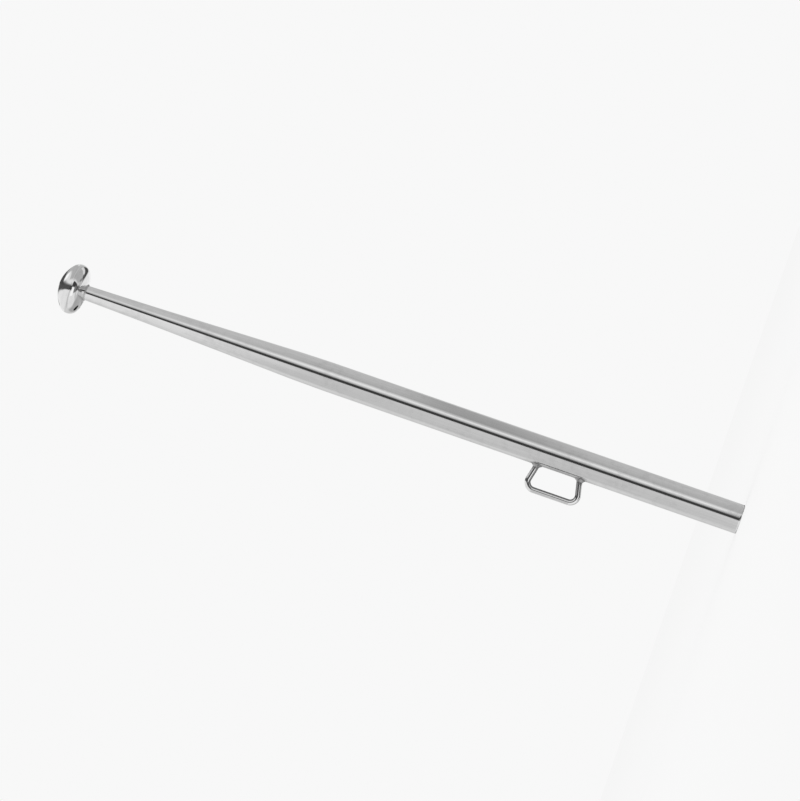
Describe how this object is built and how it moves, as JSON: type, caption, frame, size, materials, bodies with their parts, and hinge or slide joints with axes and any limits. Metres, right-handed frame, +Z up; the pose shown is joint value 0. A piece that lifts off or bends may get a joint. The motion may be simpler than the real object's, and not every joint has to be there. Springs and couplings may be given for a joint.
{
  "type": "flagpole",
  "caption": "Polished stainless flagstaff: a hollow tube drawn down to a thin tip, with a flattened-ball knob, two line holes in its rim and a welded wire loop near the butt.",
  "frame": {"origin": "centre of the tube's butt end, on its flat end face", "axes": "+Z up the pole to the knob; the line loop is on -X, and the two line holes lie to both sides of its plane"},
  "size_m": [0.057, 0.043, 0.6],
  "materials": {
    "polished_steel": "polished stainless steel with faint lengthwise polishing lines",
    "weld_steel": "brushed stainless weld bead"
  },
  "bodies": {
    "root": {"pole_tube": "polished_steel", "knob": "polished_steel", "neck_weld": "weld_steel", "line_loop": "polished_steel", "loop_weld_upper": "weld_steel", "loop_weld_lower": "weld_steel"}
  },
  "joints": []
}
